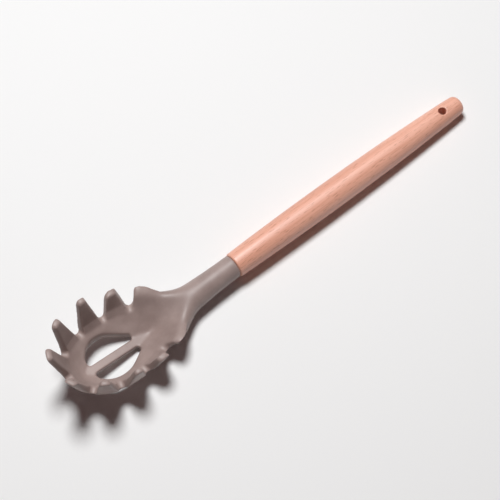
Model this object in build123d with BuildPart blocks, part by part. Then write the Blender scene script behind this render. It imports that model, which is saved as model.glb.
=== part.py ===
from build123d import *
import os
from math import cos, radians, sin, tan

# Pasta server lying on a table: origin on the heel of the bowl, X along the handle, Z up.
os.makedirs("parts", exist_ok=True)

# Bowl of the head, in its own plane that rises to the front
floor_thickness = 4.3
floor_slope = 9.0
heel_setback = 30.2
heel_flat_depth = 0.4
wall_thickness = 3.6
bowl_half_width = 26.9
bowl_front_reach = 39.5
bowl_rear_reach = 57.0
bowl_depth = 22.0
widest_setback = -7.0

# Horizontal sections of the hollow: level, front reach, rear reach and half width,
# as shares of the bowl's depth, front reach, rear reach and half width
hollow_level_shares = (
    (0.0, 0.57, 0.49, 0.205),
    (0.09, 0.665, 0.555, 0.35),
    (0.205, 0.74, 0.615, 0.53),
    (0.364, 0.805, 0.675, 0.72),
    (0.59, 0.88, 0.80, 0.847),
    (0.91, 0.967, 0.99, 0.94),
    (1.40, 1.10, 1.21, 1.09),
    (2.27, 1.33, 1.55, 1.39),
)
rear_bend_shares = (0.66, 0.74)

# Rim seen from the side: distance behind the middle of the bowl and height over its floor
rim_reach = 56.0
rim_height = 39.5
rim_point_shares = (
    (-1.0, 1.0),
    (-0.83, 0.97),
    (-0.48, 0.90),
    (-0.11, 0.85),
    (0.24, 0.74),
    (0.365, 0.61),
    (0.47, 0.44),
    (0.545, 0.46),
    (0.61, 0.50),
    (0.68, 0.50),
    (0.76, 0.455),
    (0.86, 0.38),
    (0.95, 0.28),
)

# Notches between the prongs: place behind the middle, place aside and level of the bottom,
# as shares of the bowl's front reach, half width and depth, and the direction of the cut in plan
notch_radius = 2.6
notch_place_shares = (
    (0.61, 0.62, 0.41),
    (0.16, 0.77, 0.36),
    (-0.31, 0.85, 0.34),
    (-0.69, 0.52, 0.41),
)
notch_directions = (62.0, 80.0, 104.0, 138.0)
notch_front_flares = (28.0, 20.0, 19.0, 15.0)
notch_rear_flares = (8.0, 9.0, 10.0, 11.0)
front_notch_flare = 14.0
front_notch_shares = (-0.855, 0.45)
notch_reach = 45.0
notch_height = 60.0

# Rounded tips of the prongs: place behind the middle, place aside and level of the top,
# as shares of the bowl's front reach, half width and rim height, and width over the notch radius
tip_place_shares = (
    (0.413, 1.02, 0.60, 3.55),
    (-0.108, 1.14, 0.79, 3.3),
    (-0.675, 1.01, 0.825, 3.6),
    (-1.107, 0.434, 0.86, 4.0),
)
tip_directions = (67.0, 91.0, 117.0, 155.0)
tip_rounding = 3.4
tip_reach = 20.0
tip_height = 10.0

# Slots through the floor, either side of a bar
bar_width = 6.0
slot_reach = 17.5
slot_width = 15.3
slot_point_shares = ((0.97, 0.42), (0.66, 0.62), (0.29, 0.86), (-0.33, 1.0), (-0.77, 0.80), (-1.0, 0.50))
slot_corner_radius = 1.8

# Neck and collar: place before the heel, half width, half height and middle level of each section,
# as shares of the neck's length, the collar's radius and the seam's height
neck_length = 67.9
collar_radius = 7.95
neck_section_shares = (
    (1.0, 1.0, 1.0, 1.0),
    (0.867, 1.006, 1.006, 0.995),
    (0.734, 1.055, 1.055, 0.985),
    (0.6, 1.12, 1.12, 0.965),
    (0.469, 1.2, 1.19, 0.94),
    (0.399, 1.40, 1.23, 0.925),
    (0.335, 1.72, 1.26, 0.91),
    (0.268, 2.1, 1.28, 0.90),
    (0.2, 2.4, 1.29, 0.895),
    (0.134, 2.53, 1.26, 0.905),
    (0.068, 2.6, 1.2, 0.92),
)

# Stiffener inside the neck: a tube round the handle's tenon, closed in front of it, then a flat
# tongue under the ramp, with its corners seen from above as shares of its reach and the tube's
# radius, and from the side as shares of its reach and the seam's height
core_radius = 6.45
core_end_thickness = 3.6
tongue_overlap = 5.7
tongue_plan_shares = ((1.0, 0.775), (0.639, 1.318), (0.389, 1.24), (0.153, 0.698))
tongue_side_shares = (
    (1.0, 0.501),
    (0.63, 0.401),
    (0.378, 0.292),
    (0.153, 0.292),
    (0.153, 0.468),
    (0.378, 0.735),
    (0.63, 1.219),
    (1.0, 1.419),
)

# Turned handle, thickest at one place and slimmer towards both ends
handle_length = 195.3
handle_radius = 9.6
handle_tilt = 1.3
widest_place_share = 0.40
front_radius_share = 0.883
end_radius_share = 0.70
profile_steps = 4
handle_oval_share = 1.01
handle_front_edge = 0.7
handle_end_rounding = 3.6
rounding_steps = 4
tenon_radius = 4.6
tenon_length = 34.0
tenon_clearance = 0.05
socket_end_gap = 0.5
hole_radius = 2.75
hole_from_end = 16.1

widest_place = widest_place_share * handle_length
hole_along = handle_length - hole_from_end


def barrel_radius(place):
    """Radius of the barrel, falling off from its widest place."""
    if place < widest_place:
        return handle_radius * (1 - (1 - front_radius_share) * (1 - place / widest_place) ** 2)
    away = (place - widest_place) / (handle_length - widest_place)
    return handle_radius * (1 - (1 - end_radius_share) * away**2)


# Profile of the barrel: place along it and radius
places = [handle_front_edge]
for step in range(profile_steps):
    places.append(widest_place * (step + 1) / profile_steps)
for step in range(profile_steps):
    places.append(widest_place + (hole_along - 1.5 * hole_radius - widest_place) * (step + 1) / profile_steps)
places.append(hole_along + 1.5 * hole_radius)
barrel = [(0, barrel_radius(0) - handle_front_edge)] + [(place, barrel_radius(place)) for place in places]
for step in range(rounding_steps + 1):
    turn = radians(90 * step / rounding_steps)
    place = handle_length - handle_end_rounding * (1 - sin(turn))
    barrel.append((place, end_radius_share * handle_radius - handle_end_rounding * (1 - cos(turn))))

# The barrel rests on the table, which sets the height of the seam
tilt = radians(handle_tilt)
seam_height = max(radius * cos(tilt) + place * sin(tilt) for place, radius in barrel)

slope = radians(floor_slope)
bowl_plane = Plane(
    origin=(
        floor_thickness * sin(slope) - heel_setback * cos(slope),
        0,
        heel_setback * sin(slope) + floor_thickness * cos(slope) - heel_flat_depth,
    ),
    x_dir=(cos(slope), 0, -sin(slope)),
    z_dir=(sin(slope), 0, cos(slope)),
)


def egg(level, front, rear, half_width):
    """Level section of the bowl: half an ellipse in front, a blunter curve behind."""
    with BuildSketch(bowl_plane.offset(level)) as section:
        with BuildLine():
            EllipticalCenterArc(
                (widest_setback, 0), front + widest_setback, half_width, start_angle=90, arc_size=180
            )
            bend = widest_setback + rear_bend_shares[0] * (rear - widest_setback)
            aside = rear_bend_shares[1] * half_width
            Spline(
                (widest_setback, -half_width),
                (bend, -aside),
                (rear, 0),
                (bend, aside),
                (widest_setback, half_width),
                tangents=((1, 0), (-1, 0)),
            )
        make_face()
    return section.sketch


def bowl_sections(grow, sink):
    """Sections of the hollow, grown outward and sunk into the floor."""
    return [
        egg(
            level * bowl_depth - sink * (1 - level / hollow_level_shares[-1][0]),
            front * bowl_front_reach + grow,
            rear * bowl_rear_reach + grow,
            aside * bowl_half_width + grow,
        )
        for level, front, rear, aside in hollow_level_shares
    ]


def ring(place, half_width, half_height):
    """Oval section made of two halves."""
    with BuildSketch(place) as section:
        with BuildLine():
            EllipticalCenterArc((0, 0), half_width, half_height, start_angle=0, arc_size=180)
            EllipticalCenterArc((0, 0), half_width, half_height, start_angle=180, arc_size=180)
        make_face()
    return section.sketch


def wall_plane(behind, aside, level, direction):
    """Plane across the wall, facing out."""
    turn = radians(direction)
    out = bowl_plane.x_dir * cos(turn) + bowl_plane.y_dir * sin(turn)
    along = bowl_plane.y_dir * cos(turn) - bowl_plane.x_dir * sin(turn)
    return Plane(bowl_plane.from_local_coords((behind, aside, level)), x_dir=along, z_dir=out)


seam_plane = Plane((neck_length, 0, seam_height), x_dir=(0, 1, 0), z_dir=(cos(tilt), 0, -sin(tilt)))
neck_rings = []
for place, aside, high, middle in neck_section_shares:
    lean = place * tilt
    ring_plane = Plane(
        (place * neck_length, 0, middle * seam_height), x_dir=(0, 1, 0), z_dir=(cos(lean), 0, -sin(lean))
    )
    neck_rings.append(ring(ring_plane, aside * collar_radius, high * collar_radius))

core_tube_length = tenon_length + core_end_thickness
tongue_reach = neck_length - core_tube_length + tongue_overlap
with BuildPart() as core_form:
    with BuildSketch(Plane.XZ):
        with BuildLine():
            Polyline(*[(x * tongue_reach, z * seam_height) for x, z in tongue_side_shares], close=True)
        make_face()
    extrude(amount=core_radius * 2, both=True)
    with BuildSketch():
        with BuildLine():
            plan = [(x * tongue_reach, y * core_radius) for x, y in tongue_plan_shares]
            Polyline(*plan, *[(x, -y) for x, y in reversed(plan)], close=True)
        make_face()
    extrude(amount=2 * seam_height, mode=Mode.INTERSECT)
    with BuildSketch(seam_plane):
        Circle(core_radius)
    extrude(amount=-core_tube_length)

with BuildPart() as bowl:
    loft(sections=bowl_sections(wall_thickness, floor_thickness), ruled=True)
    with BuildSketch(Plane(bowl_plane.origin, x_dir=bowl_plane.x_dir, z_dir=(0, -1, 0))):
        with BuildLine():
            rim = [(x * rim_reach, z * rim_height) for x, z in rim_point_shares]
            Spline(*rim)
            Polyline(
                rim[-1],
                (1.2 * rim_reach, 0),
                (3 * rim_reach, 0),
                (3 * rim_reach, 2.5 * rim_height),
                (-1.5 * rim_reach, 2.5 * rim_height),
                (-1.5 * rim_reach, 1.2 * rim_height),
                rim[0],
            )
        make_face()
    extrude(amount=3 * bowl_half_width, both=True, mode=Mode.SUBTRACT)
    loft(sections=bowl_sections(0, 0), ruled=True, mode=Mode.SUBTRACT)
    split(bisect_by=Plane.XY, keep=Keep.TOP)
    cuts = [(front_notch_shares[0], 0, front_notch_shares[1], 180.0, front_notch_flare, front_notch_flare)]
    for (behind, aside, level), turn, fore, aft in zip(
        notch_place_shares, notch_directions, notch_front_flares, notch_rear_flares
    ):
        cuts += [(behind, aside, level, turn, fore, aft), (behind, -aside, level, -turn, aft, fore)]
    for behind, aside, level, direction, fore, aft in cuts:
        across = wall_plane(
            behind * bowl_front_reach, aside * bowl_half_width, level * bowl_depth + notch_radius, direction
        )
        with BuildSketch(across.offset(-notch_reach / 3)):
            Circle(notch_radius)
            with BuildLine():
                sides = [radians(fore), radians(aft)]
                feet = [(notch_radius * cos(turn), -notch_radius * sin(turn)) for turn in sides]
                tops = [(x + notch_height * tan(turn), y + notch_height) for (x, y), turn in zip(feet, sides)]
                Polyline(feet[0], tops[0], (-tops[1][0], tops[1][1]), (-feet[1][0], feet[1][1]), close=True)
            make_face()
    extrude(amount=notch_reach, mode=Mode.SUBTRACT)
    for (behind, aside, level, breadth), direction in zip(tip_place_shares, tip_directions):
        for side in (1, -1):
            at_tip = wall_plane(
                behind * bowl_front_reach, side * aside * bowl_half_width, level * rim_height, side * direction
            )
            with BuildSketch(at_tip.offset(-tip_reach / 2)):
                Rectangle((breadth + 2.4) * notch_radius, 2 * tip_rounding)
                Rectangle((breadth + 2.4) * notch_radius, tip_height, align=(Align.CENTER, Align.MIN))
                RectangleRounded(
                    breadth * notch_radius,
                    3 * tip_rounding,
                    radius=tip_rounding,
                    align=(Align.CENTER, Align.MAX),
                    mode=Mode.SUBTRACT,
                )
    extrude(amount=tip_reach, mode=Mode.SUBTRACT)
    for side in (1, -1):
        with BuildSketch(bowl_plane.offset(-3 * floor_thickness)):
            with BuildLine():
                edge = [(x * slot_reach, side * y * slot_width) for x, y in slot_point_shares]
                bar = side * bar_width / 2
                Spline(*edge)
                Polyline(edge[-1], (edge[-1][0], bar), (edge[0][0], bar), edge[0])
            make_face()
            fillet(vertices(), radius=slot_corner_radius)
    extrude(amount=6 * floor_thickness, mode=Mode.SUBTRACT)

with BuildPart() as silicone_head:
    loft(sections=neck_rings, ruled=True)
    loft(sections=bowl_sections(0, 0), ruled=True, mode=Mode.SUBTRACT)
    add(bowl.part)
    add(core_form.part, mode=Mode.SUBTRACT)
silicone_head.part.label = "silicone_head"
export_step(silicone_head.part, "parts/silicone_head.step")

with BuildPart() as nylon_core:
    add(core_form.part)
    with BuildSketch(seam_plane):
        Circle(tenon_radius + tenon_clearance)
    extrude(amount=-tenon_length - socket_end_gap, mode=Mode.SUBTRACT)
nylon_core.part.label = "nylon_core"
export_step(nylon_core.part, "parts/nylon_core.step")

with BuildPart() as beech_handle:
    loft(
        sections=[
            ring(seam_plane.offset(place), handle_oval_share * radius, radius) for place, radius in barrel
        ],
        ruled=True,
    )
    with BuildSketch(seam_plane):
        Circle(tenon_radius)
    extrude(amount=-tenon_length)
    hole_place = seam_plane.from_local_coords((0, 0, hole_along))
    with BuildSketch(Plane(hole_place, x_dir=seam_plane.z_dir, z_dir=seam_plane.y_dir)):
        Circle(hole_radius)
    extrude(amount=2 * handle_radius, both=True, mode=Mode.SUBTRACT)
beech_handle.part.label = "beech_handle"
export_step(beech_handle.part, "parts/beech_handle.step")
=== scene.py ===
import math

import bmesh
import bpy
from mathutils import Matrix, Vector
from mathutils.bvhtree import BVHTree


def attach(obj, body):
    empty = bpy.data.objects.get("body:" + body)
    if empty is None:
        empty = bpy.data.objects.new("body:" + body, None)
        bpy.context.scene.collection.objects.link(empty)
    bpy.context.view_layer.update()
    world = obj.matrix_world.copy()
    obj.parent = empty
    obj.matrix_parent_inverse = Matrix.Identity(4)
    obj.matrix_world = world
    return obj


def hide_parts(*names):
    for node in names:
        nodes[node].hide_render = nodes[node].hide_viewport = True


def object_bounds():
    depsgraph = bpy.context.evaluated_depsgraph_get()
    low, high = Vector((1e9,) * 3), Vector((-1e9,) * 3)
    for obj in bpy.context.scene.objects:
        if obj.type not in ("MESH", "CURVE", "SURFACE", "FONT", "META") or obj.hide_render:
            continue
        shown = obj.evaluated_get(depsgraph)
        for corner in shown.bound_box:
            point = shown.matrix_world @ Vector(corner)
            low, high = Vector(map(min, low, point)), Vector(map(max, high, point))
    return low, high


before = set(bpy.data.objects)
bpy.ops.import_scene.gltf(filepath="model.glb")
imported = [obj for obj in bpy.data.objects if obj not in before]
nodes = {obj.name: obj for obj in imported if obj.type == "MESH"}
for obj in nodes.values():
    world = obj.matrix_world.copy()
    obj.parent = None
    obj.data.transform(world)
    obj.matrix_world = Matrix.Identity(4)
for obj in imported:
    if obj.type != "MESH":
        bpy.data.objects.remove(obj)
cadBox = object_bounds()
print("frame loaded:", sorted(nodes))


# shader helpers

colorSocket = "NodeSocketColor"
numberSocket = "NodeSocketFloat"
columnWidth = 260  # spacing of the nodes in Blender's node editor
rowHeight = 300


# inputs go by the labels of their sockets, settings by Blender's own property names
def addNode(tree, kind, inputs=None, **settings):
    node = tree.nodes.new(kind)
    for name, value in settings.items():
        setattr(node, name, value)
    for label, value in (inputs or {}).items():
        node.inputs[label].default_value = value
    return node


def link(tree, source, node, label):
    tree.links.new(source, node.inputs[label])


# links the sources to the node's first inputs, in their order
def feed(tree, node, *sources):
    for sock, source in zip(node.inputs, sources):
        tree.links.new(source, sock)


# moves each node one column to the left of what it feeds, so that the tree reads well in Blender
def layOut(tree):
    columns = {node.name: 0 for node in tree.nodes}
    for _ in tree.nodes:
        for wire in tree.links:
            behind = columns[wire.to_node.name] + 1
            columns[wire.from_node.name] = max(columns[wire.from_node.name], behind)
    rows = {}
    for node in tree.nodes:
        column = columns[node.name]
        row = rows.get(column, 0)
        rows[column] = row + 1
        node.location = (-columnWidth * column, -rowHeight * row)


def newMaterial(name):
    mat = bpy.data.materials.new(name)
    mat.use_nodes = True
    mat.node_tree.nodes.clear()
    return mat, mat.node_tree


# a group that puts out a colour, a roughness and a height, which change over the surface
def newSurfaceGroup(name, inputs):
    group = bpy.data.node_groups.new(name, "ShaderNodeTree")
    for label, kind in inputs.items():
        group.interface.new_socket(label, in_out="INPUT", socket_type=kind)
    group.interface.new_socket("Color", in_out="OUTPUT", socket_type=colorSocket)
    group.interface.new_socket("Roughness", in_out="OUTPUT", socket_type=numberSocket)
    group.interface.new_socket("Height", in_out="OUTPUT", socket_type=numberSocket)
    return group, addNode(group, "NodeGroupInput"), addNode(group, "NodeGroupOutput")


def addNoise(tree, where, detail, roughness, scale=1.0):
    noise = addNode(tree, "ShaderNodeTexNoise", {"Scale": scale, "Detail": detail, "Roughness": roughness})
    link(tree, where, noise, "Vector")
    return noise


def mapRange(tree, value, fromRange=(0.0, 1.0), toRange=(0.0, 1.0), curve="LINEAR"):
    ends = {"From Min": fromRange[0], "From Max": fromRange[1], "To Min": toRange[0], "To Max": toRange[1]}
    node = addNode(tree, "ShaderNodeMapRange", ends, interpolation_type=curve)
    feed(tree, node, value)
    return node.outputs["Result"]


def combine(tree, operation, first, second):
    node = addNode(tree, "ShaderNodeMath", operation=operation)
    feed(tree, node, first, second)
    return node.outputs["Value"]


# a Mix node's sockets share their labels, so they go by their identifiers
def mixColors(tree, share, first, second):
    node = addNode(tree, "ShaderNodeMix", data_type="RGBA")
    inputs = {sock.identifier: sock for sock in node.inputs}
    tree.links.new(share, inputs["Factor_Float"])
    tree.links.new(first, inputs["A_Color"])
    tree.links.new(second, inputs["B_Color"])
    return next(sock for sock in node.outputs if sock.identifier == "Result_Color")


def mixShaders(tree, share, first, second):
    node = addNode(tree, "ShaderNodeMixShader")
    feed(tree, node, share, first, second)
    return node.outputs["Shader"]


# surfaces; the scales of their noise are per metre

mouldPattern = dict(
    mottleDetail=4.0,
    mottleRoughness=0.6,
    mottleRange=(0.35, 0.65),  # noise at which the colour is all base, and all worn
    skinDetail=2.0,
    skinRoughness=0.5,
    surfaceRoughness=(0.40, 0.54),
)


# soft mottling and a fine matt skin, as a moulded surface has
def makeMouldSkin():
    group, start, end = newSurfaceGroup("mouldSkin", {
        "Base": colorSocket, "Worn": colorSocket, "Mottle Scale": numberSocket, "Skin Scale": numberSocket,
    })
    where = addNode(group, "ShaderNodeTexCoord").outputs["Object"]
    mottle = addNoise(group, where, mouldPattern["mottleDetail"], mouldPattern["mottleRoughness"])
    skin = addNoise(group, where, mouldPattern["skinDetail"], mouldPattern["skinRoughness"])
    link(group, start.outputs["Mottle Scale"], mottle, "Scale")
    link(group, start.outputs["Skin Scale"], skin, "Scale")
    wear = mapRange(group, mottle.outputs["Fac"], fromRange=mouldPattern["mottleRange"])
    rough = mapRange(group, mottle.outputs["Fac"], toRange=mouldPattern["surfaceRoughness"])
    link(group, mixColors(group, wear, start.outputs["Base"], start.outputs["Worn"]), end, "Color")
    link(group, rough, end, "Roughness")
    link(group, skin.outputs["Fac"], end, "Height")
    layOut(group)
    return group


# each layer has one scale along X, which is the grain, and two across it
beechPattern = dict(
    band=dict(scale=(6.0, 130.0, 90.0), detail=5.0, roughness=0.55, noiseRange=(0.35, 0.68)),
    streak=dict(scale=(14.0, 900.0, 900.0), detail=4.0, roughness=0.6, noiseRange=(0.46, 0.66)),
    fleck=dict(scale=(170.0, 1500.0, 1500.0), detail=2.0, roughness=0.5, noiseRange=(0.59, 0.68)),
    fibre=dict(scale=(40.0, 2600.0, 2600.0), detail=3.0, roughness=0.6, noiseRange=(0.0, 1.0)),
    surfaceRoughness=(0.46, 0.60),
)


def grainNoise(tree, where, layer):
    stretch = addNode(tree, "ShaderNodeMapping", {"Scale": layer["scale"]})
    link(tree, where, stretch, "Vector")
    return addNoise(tree, stretch.outputs["Vector"], layer["detail"], layer["roughness"]).outputs["Fac"]


# straight grain along X in broad bands and fine streaks, with short dark flecks sunk into it
def makeBeechFigure():
    group, start, end = newSurfaceGroup("beechFigure", {
        "Light Wood": colorSocket, "Dark Wood": colorSocket, "Fleck": colorSocket,
        "Fleck Amount": numberSocket, "Streak Amount": numberSocket,
    })
    where = addNode(group, "ShaderNodeTexCoord").outputs["Object"]
    shares = {}
    for name in ("band", "streak", "fleck"):
        layer = beechPattern[name]
        shares[name] = mapRange(group, grainNoise(group, where, layer), layer["noiseRange"])
    streaks = combine(group, "MULTIPLY", shares["streak"], start.outputs["Streak Amount"])
    flecks = combine(group, "MULTIPLY", shares["fleck"], start.outputs["Fleck Amount"])
    wood = mixColors(group, shares["band"], start.outputs["Light Wood"], start.outputs["Dark Wood"])
    streaked = mixColors(group, streaks, wood, start.outputs["Dark Wood"])
    fibre = grainNoise(group, where, beechPattern["fibre"])
    rough = mapRange(group, fibre, beechPattern["fibre"]["noiseRange"], beechPattern["surfaceRoughness"])
    link(group, mixColors(group, flecks, streaked, start.outputs["Fleck"]), end, "Color")
    link(group, rough, end, "Roughness")
    link(group, combine(group, "SUBTRACT", fibre, flecks), end, "Height")
    layOut(group)
    return group


# a material whose colour, roughness and relief come from a group; its gloss is the same all over
def surfaceMaterial(name, group, finish):
    mat, tree = newMaterial(name)
    surface = addNode(tree, "ShaderNodeGroup", finish["pattern"], node_tree=group)
    bump = addNode(tree, "ShaderNodeBump", finish["relief"])
    shader = addNode(tree, "ShaderNodeBsdfPrincipled", finish["gloss"])
    out = addNode(tree, "ShaderNodeOutputMaterial")
    link(tree, surface.outputs["Color"], shader, "Base Color")
    link(tree, surface.outputs["Roughness"], shader, "Roughness")
    link(tree, surface.outputs["Height"], bump, "Height")
    link(tree, bump.outputs["Normal"], shader, "Normal")
    link(tree, shader.outputs["BSDF"], out, "Surface")
    layOut(tree)
    return mat


mouldSkin = makeMouldSkin()
beechFigure = makeBeechFigure()
print("surface groups made")


# softened copies of the solids

meshing = dict(
    weldDistance=1e-6,
    touchDistance=4e-5,  # a face nearer than this to another node lies on it
    stepShare=0.5,  # how far one smoothing step pulls a vertex to the middle of its neighbours
)


def addObject(name, data):
    obj = bpy.data.objects.new(name, data)
    bpy.context.collection.objects.link(obj)
    return obj


# a welded copy of a node's mesh, closed again where it left out the faces that lie on another node
def shellOf(name, without=None):
    bm = bmesh.new()
    bm.from_mesh(nodes[name].data)
    bmesh.ops.remove_doubles(bm, verts=bm.verts, dist=meshing["weldDistance"])
    if without:
        other = bmesh.new()
        other.from_mesh(nodes[without].data)
        surface = BVHTree.FromBMesh(other)
        other.free()
        touching = []
        for face in bm.faces:
            distance = surface.find_nearest(face.calc_center_median())[3]
            if distance is not None and distance < meshing["touchDistance"]:
                touching.append(face)
        bmesh.ops.delete(bm, geom=touching, context="FACES")
        bmesh.ops.holes_fill(bm, edges=[edge for edge in bm.edges if edge.is_boundary], sides=0)
    return bm


# works the modifiers into the mesh
def bakeModifiers(piece):
    depsgraph = bpy.context.evaluated_depsgraph_get()
    baked = bpy.data.meshes.new_from_object(piece.evaluated_get(depsgraph))
    piece.modifiers.clear()
    piece.data = baked


def addSmoothing(piece, steps, group=""):
    smooth = piece.modifiers.new("soften", "SMOOTH")
    smooth.factor = meshing["stepShare"]
    smooth.iterations = steps
    smooth.vertex_group = group


# smooths the piece by as much as shareAt gives for each vertex, from 0 to 1
def smoothWhere(piece, steps, shareAt):
    group = piece.vertex_groups.new(name="where")
    for vert in piece.data.vertices:
        share = shareAt(vert)
        if share > 0:
            group.add([vert.index], share, "REPLACE")
    addSmoothing(piece, steps, group.name)
    bakeModifiers(piece)
    piece.vertex_groups.clear()


# turns a shell into a finely meshed piece with softened edges
def softenedPiece(name, shell, values, mat, shapeMore=None):
    mesh = bpy.data.meshes.new(name)
    shell.to_mesh(mesh)
    shell.free()
    piece = addObject(name, mesh)
    remesh = piece.modifiers.new("fine", "REMESH")
    remesh.mode = "VOXEL"
    remesh.voxel_size = values["voxel"]
    remesh.use_smooth_shade = True
    addSmoothing(piece, values["smoothing"])
    bakeModifiers(piece)
    if shapeMore:
        shapeMore(piece)
    piece.data.materials.clear()
    piece.data.materials.append(mat)
    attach(piece, "root")
    print(name, "made with", len(piece.data.polygons), "faces")
    return piece


def ease(value):
    value = min(1.0, max(0.0, value))
    return value * value * (3 - 2 * value)


# 1 between two ends and 0 outside them, with a soft change inside each end
def between(value, low, high, fade):
    return ease((value - low) / fade) * ease((high - value) / fade)


# silicone head; places and lengths are in metres, and smoothing is in steps

silicone = dict(
    pattern={
        "Base": (0.262, 0.190, 0.173, 1), "Worn": (0.335, 0.250, 0.229, 1),
        "Mottle Scale": 60.0, "Skin Scale": 2600.0,
    },
    relief={"Distance": 0.0002, "Strength": 0.12},
    gloss={"IOR": 1.42, "Coat Weight": 0.6, "Coat Roughness": 0.58},
    voxel=0.00045,
    smoothing=20,
    rampSmoothing=90,
    rampFrom=-0.014,  # the ramp from the bowl's floor to the neck, along X
    rampTo=0.060,
    rampFade=0.010,
    shoulderSide=0.019,  # beyond this the rear shoulders are thin and stay crisper
    shoulderShare=0.3,
    floorHeight=0.00393,  # the floor's height over the heel, and its rise to the front
    floorRise=0.1584,
    wallFrom=0.0015,  # the wall's foot, by its height over the floor, is smoothed as the ramp is
    wallTo=0.010,
    wallFade=0.003,
    wallBack=0.020,
    crestSmoothing=660,
    crestFrom=0.001,  # the crest between the ramp and the neck
    crestTo=0.054,
    crestSide=0.024,
    sideFade=0.006,
    crestFacing=0.2,  # least upward part of the normal on the crest
    facingFade=0.3,
    chinSmoothing=500,
    chinFrom=-0.012,  # the underside, where the neck runs out into the bowl
    chinTo=0.026,
    chinFade=0.005,
    chinTop=0.027,
    chinTopFade=0.010,
    chinFoot=0.0015,
    chinFootFade=0.0025,
    chinFacing=0.3,  # most upward part of the normal under the neck
    tipSmoothing=45,
    tipFrom=0.024,  # height from which the prongs are rounded more
    tipBack=-0.006,  # the prongs stand in front of this
    tipFade=0.006,
    leanSide=-0.014,  # the near prongs lean in, from this side and height
    leanFrom=0.019,
    leanTop=0.046,
    leanIn=0.0042,
    leanMost=1.2,  # most that a vertex's height counts, with leanTop as 1
    leanPower=1.3,
    leanFade=0.006,
)


# how strongly the ramp and the foot of the wall are smoothed at a vertex
def rampShare(vert):
    x, y, z = vert.co
    ramp = between(x, silicone["rampFrom"], silicone["rampTo"], silicone["rampFade"])
    if abs(y) > silicone["shoulderSide"]:
        ramp *= silicone["shoulderShare"]
    over = z - silicone["floorHeight"] + silicone["floorRise"] * x
    wall = between(over, silicone["wallFrom"], silicone["wallTo"], silicone["wallFade"])
    return max(ramp, wall * ease((silicone["wallBack"] - x) / silicone["rampFade"]))


# the same for the top of the crest
def crestShare(vert):
    x, y, z = vert.co
    along = between(x, silicone["crestFrom"], silicone["crestTo"], silicone["rampFade"])
    across = ease((silicone["crestSide"] - abs(y)) / silicone["sideFade"])
    return along * across * ease((vert.normal.z - silicone["crestFacing"]) / silicone["facingFade"])


# the same for the underside of the neck's end
def chinShare(vert):
    x, y, z = vert.co
    along = between(x, silicone["chinFrom"], silicone["chinTo"], silicone["chinFade"])
    below = ease((silicone["chinTop"] - z) / silicone["chinTopFade"])
    above = ease((z - silicone["chinFoot"]) / silicone["chinFootFade"])
    return along * below * above * ease((silicone["chinFacing"] - vert.normal.z) / silicone["facingFade"])


# the same for the free ends of the prongs
def tipShare(vert):
    x, y, z = vert.co
    fade = silicone["tipFade"]
    return ease((silicone["tipBack"] - x) / fade) * ease((z - silicone["tipFrom"]) / fade)


# leans the soft near prongs in a little, as in the photograph
def leanProngs(piece):
    span = silicone["leanTop"] - silicone["leanFrom"]
    for vert in piece.data.vertices:
        if vert.co.y < silicone["leanSide"] and vert.co.z > silicone["leanFrom"]:
            rise = min((vert.co.z - silicone["leanFrom"]) / span, silicone["leanMost"])
            side = ease((silicone["leanSide"] - vert.co.y) / silicone["leanFade"])
            vert.co.y += silicone["leanIn"] * side * rise ** silicone["leanPower"]


def shapeHead(piece):
    smoothWhere(piece, silicone["rampSmoothing"], rampShare)
    smoothWhere(piece, silicone["crestSmoothing"], crestShare)
    smoothWhere(piece, silicone["chinSmoothing"], chinShare)
    smoothWhere(piece, silicone["tipSmoothing"], tipShare)
    leanProngs(piece)


siliconeMat = surfaceMaterial("taupeSilicone", mouldSkin, silicone)
head = softenedPiece(
    "softSiliconeHead", shellOf("silicone_head", "nylon_core"), silicone, siliconeMat, shapeHead,
)
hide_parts("silicone_head")


# beech handle

beech = dict(
    pattern={
        "Light Wood": (0.820, 0.415, 0.298, 1), "Dark Wood": (0.640, 0.268, 0.172, 1),
        "Fleck": (0.360, 0.120, 0.060, 1), "Fleck Amount": 0.5, "Streak Amount": 0.55,
    },
    relief={"Distance": 0.0002, "Strength": 0.15},
    gloss={"IOR": 1.5, "Coat Weight": 1.0, "Coat Roughness": 0.42},
    voxel=0.0005,
    smoothing=4,
)

beechMat = surfaceMaterial("turnedBeech", beechFigure, beech)
handle = softenedPiece("turnedHandle", shellOf("beech_handle"), beech, beechMat)
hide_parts("beech_handle")


# nylon core, which keeps its CAD shape

nylon = dict(
    pattern={
        "Base": (0.045, 0.042, 0.040, 1), "Worn": (0.060, 0.056, 0.054, 1),
        "Mottle Scale": 60.0, "Skin Scale": 2600.0,
    },
    relief={"Distance": 0.0002, "Strength": 0.2},
    gloss={"IOR": 1.53},
)

nylonMat = surfaceMaterial("blackNylon", mouldSkin, nylon)
for materialSlot in nodes["nylon_core"].material_slots:
    materialSlot.material = nylonMat
print("pieces made")


# table

tableTop = dict(
    width=6.0,
    color=(0.88, 0.88, 0.88, 1),
    roughness=0.8,
    specular=0.2,
    farColor=(0.84, 0.84, 0.84, 1),  # what is seen where the lamp's light runs out
    litMiddle=(0.087, 0.0, 0.0),
    farRange=(0.32, 1.0),  # distances from the middle at which the far colour starts, and is full
)


# 1 for what is seen straight, mirrored or through something, and 0 for what only gives light
def seenRay(tree):
    rays = addNode(tree, "ShaderNodeLightPath").outputs
    indirect = combine(tree, "MAXIMUM", rays["Is Glossy Ray"], rays["Is Transmission Ray"])
    return combine(tree, "MAXIMUM", rays["Is Camera Ray"], indirect)


# how much of the far colour the table has, by the distance from its lit middle
def farShare(tree):
    away = addNode(tree, "ShaderNodeVectorMath", operation="DISTANCE")
    away.inputs[1].default_value = tableTop["litMiddle"]
    feed(tree, away, addNode(tree, "ShaderNodeTexCoord").outputs["Object"])
    return mapRange(tree, away.outputs["Value"], tableTop["farRange"], curve="SMOOTHSTEP")


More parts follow.
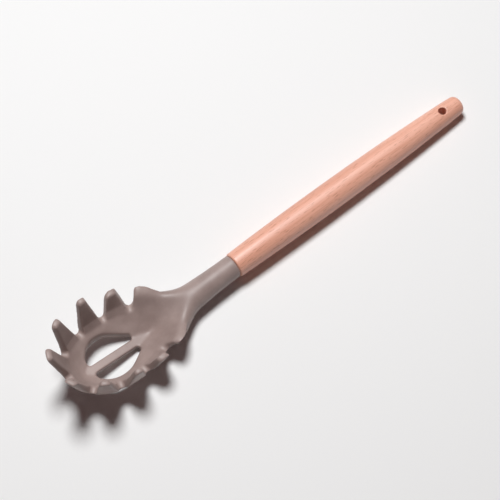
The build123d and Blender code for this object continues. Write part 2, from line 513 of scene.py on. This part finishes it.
def makeTable():
    half = tableTop["width"] / 2
    corners = [(-half, -half, 0), (half, -half, 0), (half, half, 0), (-half, half, 0)]
    mesh = bpy.data.meshes.new("table")
    mesh.from_pydata(corners, [], [range(len(corners))])
    table = addObject("table", mesh)
    table.location.z = min(cadBox[0].z, 0.0)
    mat, tree = newMaterial("paleTable")
    lit = addNode(tree, "ShaderNodeBsdfPrincipled", {
        "Base Color": tableTop["color"], "Roughness": tableTop["roughness"],
        "Specular IOR Level": tableTop["specular"],
    })
    far = addNode(tree, "ShaderNodeEmission", {"Color": tableTop["farColor"]})
    share = combine(tree, "MULTIPLY", farShare(tree), seenRay(tree))
    surface = mixShaders(tree, share, lit.outputs["BSDF"], far.outputs["Emission"])
    link(tree, surface, addNode(tree, "ShaderNodeOutputMaterial"), "Surface")
    layOut(tree)
    mesh.materials.append(mat)


# light and camera

# places a lamp or a camera off its target and turns it to look there
def aimAt(obj, target, direction, distance):
    obj.location = Vector(target) + direction * distance
    obj.rotation_mode = "QUATERNION"
    obj.rotation_quaternion = direction.to_track_quat("Z", "Y")


studio = dict(
    skyColor=(1.0, 0.54, 0.52, 1),
    skyStrength=0.05,
    lampTarget=(0.06, 0.0, 0.0),
    lampDirection=(0.10, 0.30, 1.0),  # from the target to the lamp
    lampDistance=1.6,
    lampSize=0.52,
    lampPower=26.0,
    lampColor=(0.985, 1.0, 1.0),
)


def makeLight():
    world = bpy.data.worlds.new("softRoom")
    bpy.context.scene.world = world
    world.use_nodes = True
    tree = world.node_tree
    tree.nodes.clear()
    dim = {"Color": studio["skyColor"], "Strength": studio["skyStrength"]}
    sky = addNode(tree, "ShaderNodeBackground", dim)
    pale = addNode(tree, "ShaderNodeBackground", {"Color": tableTop["farColor"]})
    surface = mixShaders(tree, seenRay(tree), sky.outputs["Background"], pale.outputs["Background"])
    link(tree, surface, addNode(tree, "ShaderNodeOutputWorld"), "Surface")
    layOut(tree)
    lamp = bpy.data.lights.new("softbox", "AREA")
    lamp.shape = "DISK"
    lamp.size = studio["lampSize"]
    lamp.energy = studio["lampPower"]
    lamp.color = studio["lampColor"]
    direction = Vector(studio["lampDirection"]).normalized()
    aimAt(addObject("softbox", lamp), studio["lampTarget"], direction, studio["lampDistance"])


shot = dict(
    azimuth=-38.85,
    elevation=65.54,
    distance=1.2212,
    target=(0.08665, 0.00633, 0.0),
    sensorWidth=36.0,
    focalShare=3.718,  # focal length over the picture's width
    clip=(0.05, 20.0),
)


def makeCamera():
    lens = bpy.data.cameras.new("camera")
    lens.sensor_width = shot["sensorWidth"]
    lens.lens = shot["focalShare"] * shot["sensorWidth"]
    lens.clip_start, lens.clip_end = shot["clip"]
    turn = math.radians(shot["azimuth"])
    rise = math.radians(shot["elevation"])
    level = math.cos(rise)
    direction = Vector((math.sin(turn) * level, -math.cos(turn) * level, math.sin(rise)))
    camera = addObject("camera", lens)
    aimAt(camera, shot["target"], direction, shot["distance"])
    bpy.context.scene.camera = camera


makeTable()
makeLight()
makeCamera()
bpy.context.scene.view_settings.view_transform = "Standard"
print("table, light and camera made")
